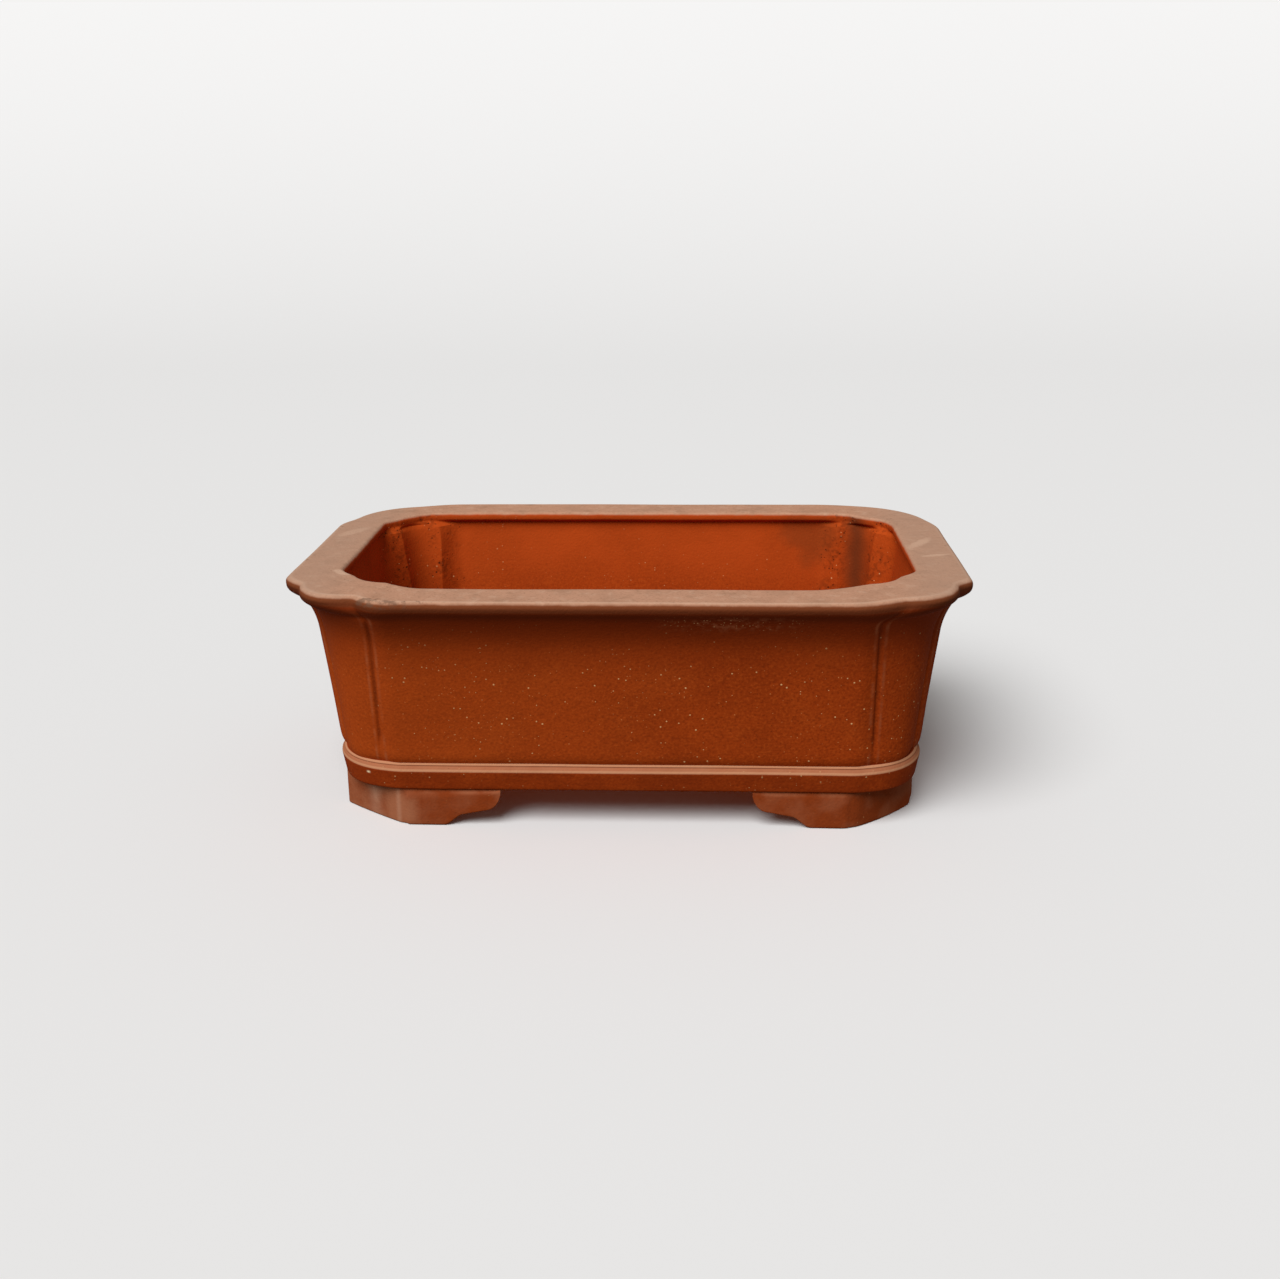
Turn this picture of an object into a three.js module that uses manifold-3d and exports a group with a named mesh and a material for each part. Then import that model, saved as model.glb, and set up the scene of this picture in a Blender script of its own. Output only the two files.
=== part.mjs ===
// A small rectangular bonsai pot of unglazed stoneware, slab built: four leaning wall panels and four
// rounded corner staves stand on a floor slab, a moulded band wraps the slab's edge, a broad rim lies
// on the walls, and four corner feet carry the pot. Millimetres, +Z up, X along the pot's length.
// The origin is the middle of the footprint, on the surface that the feet stand on.
import * as THREE from 'three';
import { mergeVertices } from 'three/addons/utils/BufferGeometryUtils.js';
import Module from 'manifold-3d';

// Overall size. A half-length is a distance from the middle of the pot along X to a face of a short
// side; the matching face of a long side is LENGTH_OVER_DEPTH closer to the middle along Y.
const LENGTH = 200;
const DEPTH = 124;
const HEIGHT = 73;
const HALF_LENGTH = LENGTH / 2;
const LENGTH_OVER_DEPTH = (LENGTH - DEPTH) / 2;
const JOINT_GAP = 0.3;

// Heights of the joints
const FLOOR_BOTTOM = 11.5;
const FLOOR_TOP = 20;
const WALL_FOOT = FLOOR_TOP + JOINT_GAP;
const WALL_TOP = 60.7;
const RIM_FOOT = WALL_TOP + JOINT_GAP;
const FOOT_TOP = FLOOR_BOTTOM - JOINT_GAP;

// Wall section: a straight lean, then a cove under the rim
const WALL_FOOT_HALF = 87.8;
const WALL_LEAN = 0.122;
const WALL_THICKNESS = 7;
const COVE_START = 56;
const COVE_END = 67.5;
const COVE_FLARE = 5.1;
const COVE_POWER = 2.2;

// Rim section
const RIM_WIDTH = 15.2;
const RIM_COVE_STEPS = 3;
const LIP_RADIUS = 3.08;
const LIP_ARC_STEPS = 6;
const RIM_EDGE_RADIUS = 1.6;
const RIM_EDGE_DROP = 7;
const RIM_EDGE_ARC_STEPS = 3;

// Base band section
const BAND_FACE_HALF = 88.3;
const BAND_TAPER = 1.2;
const BAND_INNER_HALF = 84;
const BEAD_HEIGHT = 2.4;
const BEAD_DEPTH = 1;

// Creases between the sides and the corner staves: their place, how deep they sit behind the face,
// over what distance a long and a short side turn in to them, and how far the stave bulges past the
// straight line between its two creases.
const WALL_CREASE = { x: 72, y: 34.5, depth: 1.75, easeLong: 6, easeShort: 6, bulge: 3.2 };
const WALL_INNER_CREASE = { x: 68.2, y: 34.5, depth: 5, easeLong: 7, easeShort: 9, bulge: 3.4 };
const RIM_CREASE = { x: 74.5, y: 36.5, depth: 5.5, easeLong: 12, easeShort: 7, bulge: 6.7 };
const RIM_INNER_CREASE = { x: 68.2, y: 35, depth: 5.4, easeLong: 7, easeShort: 9, bulge: 4 };
const BAND_CREASE = { x: 71.5, y: 34, depth: 1, easeLong: 6, easeShort: 6, bulge: 3 };
const FOOT_CREASE = { x: 68, y: 31, depth: 1.2, easeLong: 5, easeShort: 5, bulge: 0.9 };
const CREASE_BLEND_START = 57;
const CREASE_BLEND_END = 69;

// Feet. The arch under the end of an arm is drawn for the long side, and shortened for the short side.
const FOOT_HALF = 86.4;
const FOOT_FLARE = 0.2;
const FOOT_THICKNESS = 12;
const FOOT_REACH_X = 37.2;
const FOOT_REACH_Y = 19.5;
const ARCH_SOLE = 17.3;
const ARCH_LEDGE = 11.3;
const ARCH_NOSE = 4.8;
const ARCH_LEDGE_HEIGHT = 3.5;
const ARCH_NOSE_HEIGHT = 4.8;
const ARCH_SHORT_SCALE = 0.62;
const ARCH_CURVE_STEPS = 5;
const CUT_MARGIN = 4;

// Floor
const DRAIN_RADIUS = 9;
const DRAIN_SPACING = 84;
const DRAIN_SIDES = 28;

// Stations along the outline: distances from a crease along a side, and steps round a stave
const SIDE_STOPS = [12, 7.5, 4, 1.8, 0];
const STAVE_STEPS = 6;

const WALL_CLAY = { color: 0x8a3c1c, roughness: 0.82, metalness: 0 };
const RIM_CLAY = { color: 0x9c7460, roughness: 0.88, metalness: 0 };
const BAND_CLAY = { color: 0x93482a, roughness: 0.8, metalness: 0 };
const FOOT_CLAY = { color: 0x8c5138, roughness: 0.86, metalness: 0 };

const wasm = await Module();
wasm.setup();

const { lerp, clamp, smoothstep } = THREE.MathUtils;

function mixCreases(first, second, share) {
  const mixed = {};
  for (const key of Object.keys(first)) mixed[key] = lerp(first[key], second[key], share);
  return mixed;
}

function wallOuterHalf(z) {
  const straight = WALL_FOOT_HALF + WALL_LEAN * (z - WALL_FOOT);
  const rise = clamp((z - COVE_START) / (COVE_END - COVE_START), 0, 1);
  return straight + COVE_FLARE * rise ** COVE_POWER;
}

function wallInnerHalf(z) {
  return WALL_FOOT_HALF - WALL_THICKNESS + WALL_LEAN * (z - WALL_FOOT);
}

// The crease at half-length a and height z. Inner creases stand further towards the middle of the
// pot than outer ones, and both change from the wall's to the rim's through the cove.
function wallCrease(a, z) {
  const rise = smoothstep(z, CREASE_BLEND_START, CREASE_BLEND_END);
  const outer = mixCreases(WALL_CREASE, RIM_CREASE, rise);
  const inner = mixCreases(WALL_INNER_CREASE, RIM_INNER_CREASE, rise);
  const outerHalf = lerp(wallOuterHalf(z), HALF_LENGTH, rise);
  const innerHalf = lerp(wallInnerHalf(z), HALF_LENGTH - RIM_WIDTH, rise);
  return mixCreases(outer, inner, clamp((outerHalf - a) / (outerHalf - innerHalf), 0, 1));
}

function bandCrease() {
  return BAND_CREASE;
}

function footCrease() {
  return FOOT_CREASE;
}

// How far a side stands back at a distance from its middle.
function turnIn(distance, end, ease, depth) {
  const share = clamp((Math.abs(distance) - end + ease) / ease, 0, 1);
  return depth * (1 - Math.cos((share * Math.PI) / 2));
}

function stavePoint(station, a, crease) {
  const start = new THREE.Vector2(crease.x, a - LENGTH_OVER_DEPTH - crease.depth);
  const end = new THREE.Vector2(a - crease.depth, crease.y);
  const chord = end.sub(start);
  const share = station.share + station.shift / chord.length();
  const outward = new THREE.Vector2(-chord.y, chord.x).normalize();
  const bulge = 4 * crease.bulge * share * (1 - share);
  return start.addScaledVector(chord, share).addScaledVector(outward, bulge);
}

// Plan position of the face at half-length a, at a station of the pot's outline. The outline runs
// clockwise seen from above: the long side at +Y, the stave at +X +Y, then the short side at +X.
function planPoint(station, a, crease) {
  let point;
  if (station.zone === 'long') {
    const x = station.share * crease.x + station.shift;
    const inset = turnIn(x, crease.x, crease.easeLong, crease.depth);
    point = new THREE.Vector2(x, a - LENGTH_OVER_DEPTH - inset);
  } else if (station.zone === 'short') {
    const y = -(station.share * crease.y + station.shift);
    const inset = turnIn(y, crease.y, crease.easeShort, crease.depth);
    point = new THREE.Vector2(a - inset, y);
  } else {
    point = stavePoint(station, a, crease);
  }
  return point.multiply(new THREE.Vector2(station.signX, station.signY));
}

// Stations for a run of shares along one zone. The gaps shorten the run at its two ends.
function runOf(zone, shares, { startGap = 0, endGap = 0, signX = 1, signY = 1 } = {}) {
  const last = shares.length - 1;
  const direction = Math.sign(shares[last] - shares[0]);
  const stations = shares.map((share) => ({ zone, share, shift: 0, signX, signY }));
  stations[0].shift = direction * startGap;
  stations[last].shift = -direction * endGap;
  return stations;
}

function evenShares(from, to, steps) {
  return Array.from({ length: steps + 1 }, (_, i) => lerp(from, to, i / steps));
}

// Shares of a whole side, from crease to crease, closer together near the creases.
function sideShares(end) {
  const half = SIDE_STOPS.map((stop) => 1 - stop / end);
  return [...half.map((share) => -share).reverse(), 0, ...half];
}

function tidyGeometry(geometry) {
  geometry.deleteAttribute('normal');
  geometry.deleteAttribute('uv');
  const merged = mergeVertices(geometry);
  merged.computeVertexNormals();
  return merged;
}

// Sweeps a section, drawn as (half-length, height), along stations of the outline.
function sweep(section, stations, creaseAt) {
  const steps = stations.length - 1;
  const shape = new THREE.Shape(section);
  const geometry = new THREE.ExtrudeGeometry(shape, { steps, depth: steps, bevelEnabled: false });
  const positions = geometry.attributes.position;
  for (let i = 0; i < positions.count; i += 1) {
    const a = positions.getX(i);
    const z = positions.getY(i);
    const point = planPoint(stations[Math.round(positions.getZ(i))], a, creaseAt(a, z));
    positions.setXYZ(i, point.x, point.y, z);
  }
  return tidyGeometry(geometry);
}

function sectionPoints(heights, halfAt) {
  return heights.map((z) => new THREE.Vector2(halfAt(z), z));
}

function arcPoints(centre, radius, fromAngle, toAngle, steps) {
  return evenShares(fromAngle, toAngle, steps).map((angle) => (
    new THREE.Vector2(radius * Math.cos(angle), radius * Math.sin(angle)).add(centre)));
}

function wallSection() {
  return [
    ...sectionPoints([WALL_FOOT, COVE_START, WALL_TOP], wallOuterHalf),
    ...sectionPoints([WALL_TOP, WALL_FOOT], wallInnerHalf),
  ];
}

function rimSection() {
  const coveHeights = evenShares(RIM_FOOT, COVE_END, RIM_COVE_STEPS).slice(0, -1);
  const lipCentre = new THREE.Vector2(HALF_LENGTH - LIP_RADIUS, HEIGHT - LIP_RADIUS);
  const lipStart = Math.atan2(COVE_END - lipCentre.y, wallOuterHalf(COVE_END) - lipCentre.x);
  const edgeHalf = HALF_LENGTH - RIM_WIDTH + RIM_EDGE_RADIUS;
  const edgeCentre = new THREE.Vector2(edgeHalf, HEIGHT - RIM_EDGE_RADIUS);
  return [
    ...sectionPoints(coveHeights, wallOuterHalf),
    ...arcPoints(lipCentre, LIP_RADIUS, lipStart, Math.PI / 2, LIP_ARC_STEPS),
    ...arcPoints(edgeCentre, RIM_EDGE_RADIUS, Math.PI / 2, Math.PI, RIM_EDGE_ARC_STEPS),
    ...sectionPoints([HEIGHT - RIM_EDGE_DROP, RIM_FOOT], wallInnerHalf),
  ];
}

function bandSection() {
  const beadFoot = FLOOR_TOP - BEAD_HEIGHT;
  return [
    new THREE.Vector2(BAND_FACE_HALF - BAND_TAPER, FLOOR_BOTTOM),
    new THREE.Vector2(BAND_FACE_HALF, beadFoot),
    new THREE.Vector2(BAND_FACE_HALF - BEAD_DEPTH / 4, beadFoot + BEAD_HEIGHT / 2),
    new THREE.Vector2(BAND_FACE_HALF - BEAD_DEPTH, FLOOR_TOP),
    new THREE.Vector2(BAND_INNER_HALF, FLOOR_TOP),
    new THREE.Vector2(BAND_INNER_HALF, FLOOR_BOTTOM),
  ];
}

function footSection() {
  return [
    new THREE.Vector2(FOOT_HALF + FOOT_FLARE, 0),
    new THREE.Vector2(FOOT_HALF, FOOT_TOP),
    new THREE.Vector2(FOOT_HALF - FOOT_THICKNESS, FOOT_TOP),
    new THREE.Vector2(FOOT_HALF - FOOT_THICKNESS, 0),
  ];
}

function longWall() {
  const gaps = { startGap: JOINT_GAP / 2, endGap: JOINT_GAP / 2 };
  return sweep(wallSection(), runOf('long', sideShares(WALL_CREASE.x), gaps), wallCrease);
}

function shortWall() {
  const gaps = { startGap: JOINT_GAP / 2, endGap: JOINT_GAP / 2 };
  return sweep(wallSection(), runOf('short', sideShares(WALL_CREASE.y), gaps), wallCrease);
}

// The stave meets each side at about 45 degrees, so its end stands back by more than the side's.
function cornerStave() {
  const gap = (JOINT_GAP / 2) * Math.SQRT2;
  const run = runOf('stave', evenShares(0, 1, STAVE_STEPS), { startGap: gap, endGap: gap });
  return sweep(wallSection(), run, wallCrease);
}

// A strip along a long side, with half a stave at each end, mitred in the middle of the staves.
function longStrip(section, creaseAt) {
  const mitre = JOINT_GAP / 2;
  const toMitre = evenShares(0, 0.5, STAVE_STEPS / 2);
  const fromMitre = [...toMitre].reverse();
  const stations = [
    ...runOf('stave', fromMitre, { startGap: mitre, signX: -1 }).slice(0, -1),
    ...runOf('long', sideShares(RIM_CREASE.x)),
    ...runOf('stave', toMitre, { endGap: mitre }).slice(1),
  ];
  return sweep(section, stations, creaseAt);
}

function shortStrip(section, creaseAt) {
  const mitre = JOINT_GAP / 2;
  const fromMitre = evenShares(0.5, 1, STAVE_STEPS / 2);
  const toMitre = [...fromMitre].reverse();
  const stations = [
    ...runOf('stave', fromMitre, { startGap: mitre }).slice(0, -1),
    ...runOf('short', sideShares(RIM_CREASE.y)),
    ...runOf('stave', toMitre, { endGap: mitre, signY: -1 }).slice(1),
  ];
  return sweep(section, stations, creaseAt);
}

// The slab's outline runs clockwise, so the holes in it run the other way.
function drainHole(x) {
  const ring = arcPoints(new THREE.Vector2(x, 0), DRAIN_RADIUS, 0, 2 * Math.PI, DRAIN_SIDES);
  return new THREE.Path(ring.slice(1));
}

function floorSlab() {
  const a = BAND_INNER_HALF - JOINT_GAP;
  const stations = [
    ...runOf('long', sideShares(BAND_CREASE.x)),
    ...runOf('stave', evenShares(0, 1, STAVE_STEPS)).slice(1, -1),
    ...runOf('short', sideShares(BAND_CREASE.y)),
    ...runOf('stave', evenShares(1, 0, STAVE_STEPS), { signY: -1 }).slice(1, -1),
  ];
  const half = stations.map((station) => planPoint(station, a, BAND_CREASE));
  const otherHalf = half.map((point) => point.clone().negate());
  const shape = new THREE.Shape([...half, ...otherHalf]);
  shape.holes.push(drainHole(-DRAIN_SPACING / 2), drainHole(DRAIN_SPACING / 2));
  const depth = FLOOR_TOP - FLOOR_BOTTOM;
  const slab = new THREE.ExtrudeGeometry(shape, { depth, bevelEnabled: false });
  return tidyGeometry(slab.translate(0, 0, FLOOR_BOTTOM));
}

// What is cut away under the end of a foot's arm, as (distance from the middle of the side, height):
// a short ogee up from the sole, a nearly level ledge, and a rounded nose up to the floor.
function archCutter(reach, scale) {
  const sole = reach + ARCH_SOLE * scale;
  const ledge = reach + ARCH_LEDGE * scale;
  const nose = reach + ARCH_NOSE * scale;
  const ogee = (sole - ledge) / 2;
  const shape = new THREE.Shape();
  shape.moveTo(reach - CUT_MARGIN, -CUT_MARGIN);
  shape.lineTo(sole, -CUT_MARGIN);
  shape.lineTo(sole, 0);
  shape.bezierCurveTo(sole - ogee, 0, ledge + ogee, ARCH_LEDGE_HEIGHT, ledge, ARCH_LEDGE_HEIGHT);
  shape.lineTo(nose, ARCH_NOSE_HEIGHT);
  shape.quadraticCurveTo(reach, ARCH_NOSE_HEIGHT, reach, FOOT_TOP);
  shape.lineTo(reach, FOOT_TOP + CUT_MARGIN);
  shape.lineTo(reach - CUT_MARGIN, FOOT_TOP + CUT_MARGIN);
  shape.closePath();
  const settings = { depth: HALF_LENGTH, bevelEnabled: false, curveSegments: ARCH_CURVE_STEPS };
  return tidyGeometry(new THREE.ExtrudeGeometry(shape, settings));
}

function toManifold(geometry) {
  const vertProperties = new Float32Array(geometry.attributes.position.array);
  const triVerts = new Uint32Array(geometry.index.array);
  return new wasm.Manifold(new wasm.Mesh({ numProp: 3, vertProperties, triVerts }));
}

function fromManifold(solid) {
  const mesh = solid.getMesh();
  const geometry = new THREE.BufferGeometry();
  geometry.setAttribute('position', new THREE.BufferAttribute(new Float32Array(mesh.vertProperties), 3));
  geometry.setIndex(new THREE.BufferAttribute(new Uint32Array(mesh.triVerts), 1));
  geometry.computeVertexNormals();
  return geometry;
}

function cornerFoot() {
  const longStart = (FOOT_REACH_X - CUT_MARGIN / 2) / FOOT_CREASE.x;
  const shortEnd = (FOOT_REACH_Y - CUT_MARGIN / 2) / FOOT_CREASE.y;
  const beforeCrease = 1 - FOOT_CREASE.easeLong / FOOT_CREASE.x;
  const afterCrease = 1 - FOOT_CREASE.easeShort / FOOT_CREASE.y;
  const stations = [
    ...runOf('long', [longStart, beforeCrease, (1 + beforeCrease) / 2, 1]),
    ...runOf('stave', evenShares(0, 1, STAVE_STEPS)).slice(1, -1),
    ...runOf('short', [-1, -(1 + afterCrease) / 2, -afterCrease, -shortEnd]),
  ];
  const quarterTurn = Math.PI / 2;
  const arms = toManifold(sweep(footSection(), stations, footCrease));
  const longArch = archCutter(FOOT_REACH_X, 1).rotateX(quarterTurn).translate(0, HALF_LENGTH, 0);
  const shortArch = archCutter(FOOT_REACH_Y, ARCH_SHORT_SCALE).rotateX(quarterTurn).rotateZ(quarterTurn);
  return fromManifold(arms.subtract(toManifold(longArch)).subtract(toManifold(shortArch)));
}

// A copy of a piece on another side of the pot. Mirroring one axis turns its triangles round.
function mirrored(geometry, signX, signY) {
  const copy = geometry.clone().scale(signX, signY, 1);
  if (signX * signY < 0) {
    const corners = copy.index.array;
    for (let i = 0; i < corners.length; i += 3) {
      [corners[i], corners[i + 1]] = [corners[i + 1], corners[i]];
    }
  }
  copy.computeVertexNormals();
  return copy;
}

const pot = new THREE.Group();

function addPiece(name, geometry, clay) {
  const piece = new THREE.Mesh(geometry, new THREE.MeshStandardMaterial(clay));
  piece.name = name;
  pot.add(piece);
}

function addSides(kind, longGeometry, shortGeometry, clay) {
  addPiece(`${kind}_back`, longGeometry, clay);
  addPiece(`${kind}_front`, mirrored(longGeometry, 1, -1), clay);
  addPiece(`${kind}_right`, shortGeometry, clay);
  addPiece(`${kind}_left`, mirrored(shortGeometry, -1, 1), clay);
}

function addCorners(kind, geometry, clay) {
  addPiece(`${kind}_back_right`, geometry, clay);
  addPiece(`${kind}_back_left`, mirrored(geometry, -1, 1), clay);
  addPiece(`${kind}_front_right`, mirrored(geometry, 1, -1), clay);
  addPiece(`${kind}_front_left`, mirrored(geometry, -1, -1), clay);
}

addPiece('floor_slab', floorSlab(), WALL_CLAY);
addSides('wall', longWall(), shortWall(), WALL_CLAY);
addCorners('corner_stave', cornerStave(), WALL_CLAY);
addSides('rim', longStrip(rimSection(), wallCrease), shortStrip(rimSection(), wallCrease), RIM_CLAY);
addSides('band', longStrip(bandSection(), bandCrease), shortStrip(bandSection(), bandCrease), BAND_CLAY);
addCorners('foot', cornerFoot(), FOOT_CLAY);

export default pot;
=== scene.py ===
# %% [markdown]
# # A small bonsai pot of red-brown stoneware
# This file dresses a slab-built pot of 21 clay members: a floor slab, four wall panels, four rounded
# corner staves, and four strips each for the rim and the base band, on four corner feet. Every member
# is a section drawn once and led round the pot, so one idea makes nearly all of it.
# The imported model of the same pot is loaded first. It says how big everything is, and the finished
# pieces are built over it, in metres, in the same place.

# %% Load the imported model
import math
from collections import namedtuple

import bmesh
import bpy
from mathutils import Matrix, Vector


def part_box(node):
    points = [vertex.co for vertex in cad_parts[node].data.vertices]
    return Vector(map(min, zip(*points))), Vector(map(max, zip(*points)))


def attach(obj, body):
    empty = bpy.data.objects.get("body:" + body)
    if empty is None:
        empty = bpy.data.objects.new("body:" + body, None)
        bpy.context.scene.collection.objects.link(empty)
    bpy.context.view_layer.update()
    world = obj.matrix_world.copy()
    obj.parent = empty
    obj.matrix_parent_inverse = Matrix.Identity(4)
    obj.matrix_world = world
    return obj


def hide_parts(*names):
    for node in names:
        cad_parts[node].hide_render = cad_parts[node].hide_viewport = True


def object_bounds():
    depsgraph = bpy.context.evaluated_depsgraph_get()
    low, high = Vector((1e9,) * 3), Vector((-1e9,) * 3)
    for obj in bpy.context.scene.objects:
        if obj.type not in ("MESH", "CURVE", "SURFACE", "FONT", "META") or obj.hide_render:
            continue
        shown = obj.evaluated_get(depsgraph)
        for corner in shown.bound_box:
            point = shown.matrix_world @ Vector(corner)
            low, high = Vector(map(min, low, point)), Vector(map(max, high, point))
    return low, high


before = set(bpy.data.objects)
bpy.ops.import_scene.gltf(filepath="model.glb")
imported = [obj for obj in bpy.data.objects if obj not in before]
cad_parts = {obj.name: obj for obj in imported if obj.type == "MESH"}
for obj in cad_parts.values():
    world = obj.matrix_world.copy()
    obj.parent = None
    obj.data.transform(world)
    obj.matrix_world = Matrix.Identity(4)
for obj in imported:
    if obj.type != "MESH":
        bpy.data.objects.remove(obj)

from bl_math import clamp, lerp, smoothstep
from mathutils import Matrix, Vector, noise

cad_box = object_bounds()
MM = 0.001
print("pot, mm:", [round((high - low) / MM, 1) for low, high in zip(*cad_box)])

# %% [markdown]
# ## The view
# The camera stands in front of the pot, a little to the right, and looks down at 18 degrees, so the rim's
# top and the far inner wall both show. A turn about the lens axis levels the table edge as a hand-held
# camera would leave it. Angles are easier to judge than a rotation matrix, so three plain turns are
# multiplied: first the roll, then the tilt from straight down, then the turn about the vertical.

# %% Camera
CAMERA_PLACE = Vector((22.4, -438.6, 185.2)) * MM
CAMERA_PITCH = 18.01
CAMERA_YAW = 2.62
CAMERA_ROLL = -0.51
FOCAL_IN_WIDTHS = 1450 / 1280
SENSOR_WIDTH = 36.0

lens = bpy.data.cameras.new("camera")
lens.sensor_fit = "HORIZONTAL"
lens.sensor_width = SENSOR_WIDTH
lens.lens = FOCAL_IN_WIDTHS * SENSOR_WIDTH
lens.clip_start = 0.01
camera = bpy.data.objects.new("camera", lens)
turns = [
    Matrix.Rotation(math.radians(CAMERA_YAW), 4, "Z"),
    Matrix.Rotation(math.radians(90 - CAMERA_PITCH), 4, "X"),
    Matrix.Rotation(math.radians(CAMERA_ROLL), 4, "Z"),
]
camera.matrix_world = Matrix.Translation(CAMERA_PLACE) @ turns[0] @ turns[1] @ turns[2]
bpy.context.scene.collection.objects.link(camera)
bpy.context.scene.camera = camera
print("lens, mm:", round(lens.lens, 2))

# %% [markdown]
# ## Shader maths as plain sums
# A clay finish is many small sums: a mask times a noise, one minus a mask, and so on. Nodes for such
# sums are slow to read, so a wire out of a node is wrapped in a small class, and Python's own signs add
# the Math nodes. Colours are never put through Math nodes, which would turn them grey: they go through
# Mix nodes, in the method named blend.

# %% A wire that can be reckoned with
class Wire:
    def __init__(self, finish, socket):
        self.finish = finish
        self.socket = socket

    def math(self, operation, *values):
        return self.finish.node("ShaderNodeMath", {"operation": operation}, dict(enumerate(values)))

    def __add__(self, other):
        return self.math("ADD", self, other)

    def __radd__(self, other):
        return self.math("ADD", other, self)

    def __sub__(self, other):
        return self.math("SUBTRACT", self, other)

    def __rsub__(self, other):
        return self.math("SUBTRACT", other, self)

    def __mul__(self, other):
        return self.math("MULTIPLY", self, other)

    def __rmul__(self, other):
        return self.math("MULTIPLY", other, self)

    def __truediv__(self, other):
        return self.math("DIVIDE", self, other)

    def __abs__(self):
        return self.math("ABSOLUTE", self)

    def also(self, output):
        """Another output of the same node."""
        return Wire(self.finish, self.socket.node.outputs[output])

    def rise(self, start, end):
        """0 below start and 1 above end, with a soft change between. start may be above end."""
        low, high = min(start, end), max(start, end)
        settings = {"interpolation_type": "SMOOTHSTEP"}
        inputs = {"Value": self, "From Min": low, "From Max": high}
        ramp = self.finish.node("ShaderNodeMapRange", settings, inputs, "Result")
        return ramp if start < end else 1 - ramp

    def near(self, middle, reach):
        """1 at middle, falling softly to 0 at a distance of reach on either side."""
        return abs(self - middle).rise(reach, 0)


# %% A finish and its nodes
# A Mix node has sockets for each kind of data. These are the numbers of its colour sockets.
MIX_SHARE, MIX_FIRST, MIX_SECOND, MIX_RESULT = 0, 6, 7, 2


class Finish:
    def __init__(self, name):
        self.material = bpy.data.materials.new(name)
        self.material.use_nodes = True
        self.nodes = self.material.node_tree.nodes
        self.links = self.material.node_tree.links
        self.shader = self.nodes["Principled BSDF"]

    def connect(self, value, socket):
        if isinstance(value, Wire):
            self.links.new(value.socket, socket)
        else:
            socket.default_value = value

    def node(self, kind, settings, inputs, output=0):
        made = self.nodes.new(kind)
        for name, value in settings.items():
            setattr(made, name, value)
        for name, value in inputs.items():
            self.connect(value, made.inputs[name])
        return Wire(self, made.outputs[output])

    def blend(self, share, first, second):
        inputs = {MIX_SHARE: share, MIX_FIRST: first, MIX_SECOND: second}
        return self.node("ShaderNodeMix", {"data_type": "RGBA"}, inputs, MIX_RESULT)

    def attribute(self, name):
        return self.node("ShaderNodeAttribute", {"attribute_name": name}, {}, "Fac")

    def surface(self, **values):
        for name, value in values.items():
            self.connect(value, self.shader.inputs[name.replace("_", " ").title()])


print("shader helpers ready")

# %% [markdown]
# ## The studio
# The pot stands on a plain pale sheet that sweeps up behind it, as in a studio. A sweep has no corner to
# throw a line across the picture. A pale sheet would throw light up under the lip and flatten the cove,
# so the sheet is seen by the camera and takes shadows, but is left out of the light that bounces about.

# %% Sheet
SHEET_WIDTH = 30.0
SHEET_FRONT = -12.0
SHEET_BEND = 1.0
SHEET_BEND_RADIUS = 6.0
SHEET_HEIGHT = 2.0
SHEET_BEND_STEPS = 64
SHEET_COLOUR = (0.86, 0.86, 0.86, 1)
SHEET_ROUGHNESS = 0.9

sheet_mesh = bmesh.new()
front_edge = [
    sheet_mesh.verts.new((-SHEET_WIDTH / 2, SHEET_FRONT, 0)),
    sheet_mesh.verts.new((SHEET_WIDTH / 2, SHEET_FRONT, 0)),
]
edge = sheet_mesh.edges.new(front_edge)


def pull(mesh, edges, by):
    """Draws edges out into a strip of faces, and returns the edges at the strip's far side."""
    drawn = bmesh.ops.extrude_edge_only(mesh, edges=edges)["geom"]
    moved = [item for item in drawn if isinstance(item, bmesh.types.BMVert)]
    bmesh.ops.translate(mesh, verts=moved, vec=by)
    return [item for item in drawn if isinstance(item, bmesh.types.BMEdge)]


far_edge = pull(sheet_mesh, [edge], Vector((0, SHEET_BEND - SHEET_FRONT, 0)))
far_edge = [e for e in far_edge if all(abs(v.co.y - SHEET_BEND) < MM for v in e.verts)]
bend = bmesh.ops.spin(
    sheet_mesh,
    geom=far_edge + [v for e in far_edge for v in e.verts],
    cent=(0, SHEET_BEND, SHEET_BEND_RADIUS),
    axis=(1, 0, 0),
    angle=math.pi / 2,
    steps=SHEET_BEND_STEPS,
)["geom_last"]
last_edge = [item for item in bend if isinstance(item, bmesh.types.BMEdge)]
pull(sheet_mesh, last_edge, Vector((0, 0, SHEET_HEIGHT)))
bmesh.ops.recalc_face_normals(sheet_mesh, faces=sheet_mesh.faces)
for face in sheet_mesh.faces:
    face.smooth = True
sheet_data = bpy.data.meshes.new("studio_sheet")
sheet_mesh.to_mesh(sheet_data)
sheet_mesh.free()
studio_sheet = bpy.data.objects.new("studio_sheet", sheet_data)
bpy.context.scene.collection.objects.link(studio_sheet)
studio_sheet.visible_diffuse = False
studio_sheet.visible_glossy = False
paper = Finish("paper")
paper.surface(Base_Color=SHEET_COLOUR, Roughness=SHEET_ROUGHNESS)
sheet_data.materials.append(paper.material)
print("sheet:", len(sheet_data.polygons), "faces")

# %% [markdown]
# ## Light and sky
# One broad soft light comes from high in front, a little from the left. It is as wide as a big window, so
# shadows have soft edges. A dim, slightly warm sky fills the shade.

# %% Light and sky
LIGHT_FROM_LEFT = 27
LIGHT_HEIGHT = 51
LIGHT_WIDTH = 42
LIGHT_STRENGTH = 2.95
SKY_STRENGTH = 0.20
SKY_COLOUR = (1.0, 0.96, 0.92, 1)

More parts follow.
